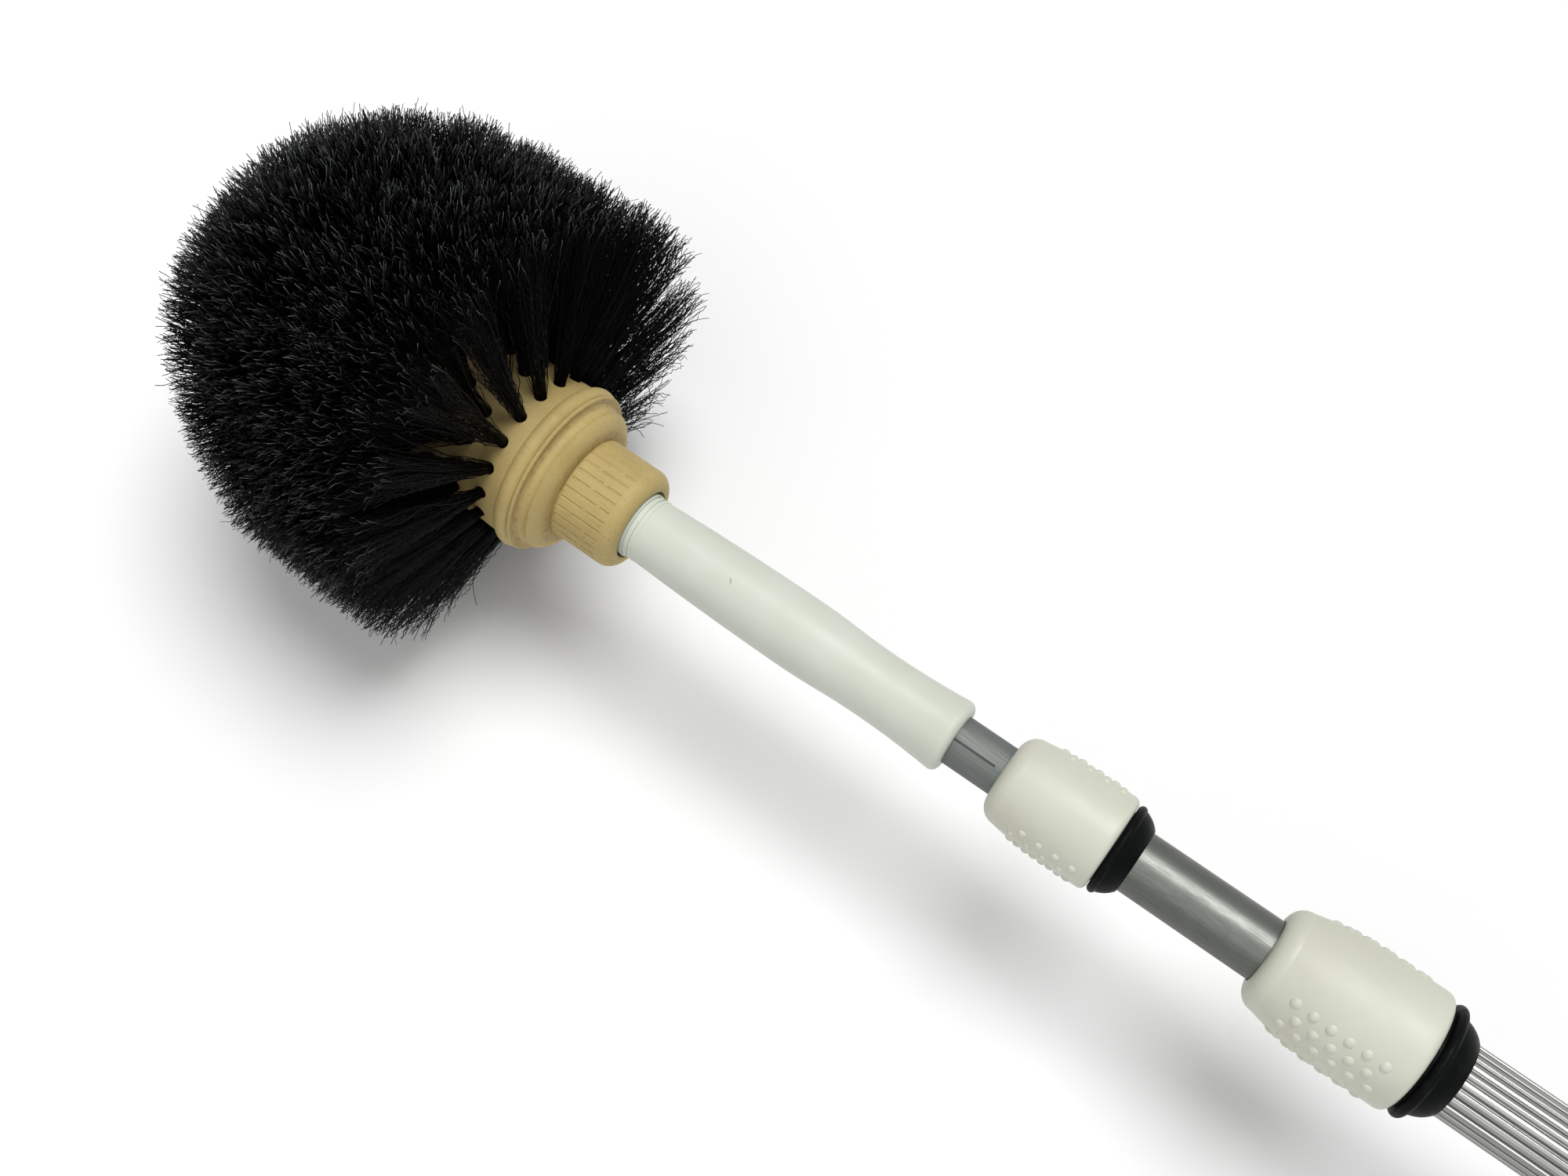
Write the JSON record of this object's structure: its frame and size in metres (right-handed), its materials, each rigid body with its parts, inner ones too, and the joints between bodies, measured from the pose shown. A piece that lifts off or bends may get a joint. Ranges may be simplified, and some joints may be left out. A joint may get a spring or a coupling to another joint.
{
  "type": "cobweb brush",
  "caption": "Domed cobweb brush with black splayed bristle tufts on a beige block, screwed by a white neck cone onto a telescopic aluminium pole with ivory twist-lock collars.",
  "frame": {"origin": "centre of the hanging hole in the end cap, on the pole's axis", "axes": "+X along the pole away from the brush head, +Z along the hanging hole, +Y completes the frame"},
  "size_m": [1.1057, 0.1764, 0.176],
  "materials": {
    "block_plastic": "satin",
    "black_bristle": "satin",
    "staple_steel": "satin",
    "washer_rubber": "matte",
    "white_plastic": "satin",
    "ivory_plastic": "satin",
    "black_plastic": "satin",
    "grey_aluminium": "satin",
    "satin_aluminium": "satin",
    "bright_aluminium": "satin"
  },
  "bodies": {
    "outer_pole": {"outer_tube": "bright_aluminium", "end_cap": "black_plastic", "lower_lock_body": "black_plastic"},
    "lower_clamp": {"lower_sleeve": "white_plastic"},
    "lower_nut": {"lower_collar": "ivory_plastic"},
    "middle_pole": {"middle_tube": "satin_aluminium", "middle_guide": "black_plastic", "upper_lock_body": "black_plastic"},
    "upper_clamp": {"upper_sleeve": "white_plastic"},
    "upper_nut": {"upper_collar": "ivory_plastic"},
    "inner_pole": {"inner_tube": "grey_aluminium", "inner_guide": "black_plastic", "cone_adapter": "white_plastic"},
    "head_seat": {"seat_washer": "washer_rubber"},
    "brush_head": {"brush_block": "block_plastic", "tuft_row_01": "black_bristle", "tuft_row_02": "black_bristle", "tuft_row_03": "black_bristle", "tuft_row_04": "black_bristle", "tuft_row_05": "black_bristle", "tuft_row_06": "black_bristle", "tuft_row_07": "black_bristle", "tuft_row_08": "black_bristle", "tuft_row_09": "black_bristle", "tuft_row_10": "black_bristle", "tuft_staples": "staple_steel"}
  },
  "joints": [
    {"name": "lower_clamp_travel", "type": "slide", "parent": "outer_pole", "child": "lower_clamp", "axis": [-1, 0, 0], "range_m": [0, 0.00226]},
    {"name": "lower_collar_twist", "type": "hinge", "parent": "lower_clamp", "child": "lower_nut", "pos_m": [-0.627, 0, 0], "axis": [-1, 0, 0], "range_deg": [0, 270]},
    {"name": "middle_section_slide", "type": "slide", "parent": "outer_pole", "child": "middle_pole", "axis": [-1, 0, 0], "range_m": [-0.0435, 0.506]},
    {"name": "upper_clamp_travel", "type": "slide", "parent": "middle_pole", "child": "upper_clamp", "axis": [-1, 0, 0], "range_m": [0, 0.00226]},
    {"name": "upper_collar_twist", "type": "hinge", "parent": "upper_clamp", "child": "upper_nut", "pos_m": [-0.7325, 0, 0], "axis": [-1, 0, 0], "range_deg": [0, 270]},
    {"name": "inner_section_slide", "type": "slide", "parent": "middle_pole", "child": "inner_pole", "axis": [-1, 0, 0], "range_m": [-0.0155, 0.5585]},
    {"name": "head_seat_travel", "type": "slide", "parent": "inner_pole", "child": "head_seat", "axis": [-1, 0, 0], "range_m": [0, 0.01001]},
    {"name": "head_screw", "type": "hinge", "parent": "head_seat", "child": "brush_head", "pos_m": [-0.9164, 0, 0], "axis": [-1, 0, 0], "range_deg": [0, 720]}
  ],
  "couplings": [
    {"joint": "lower_clamp_travel", "follows": "lower_collar_twist", "m_per_rad": 0.00047746},
    {"joint": "upper_clamp_travel", "follows": "upper_collar_twist", "m_per_rad": 0.00047746},
    {"joint": "head_seat_travel", "follows": "head_screw", "m_per_rad": 0.00079577}
  ]
}
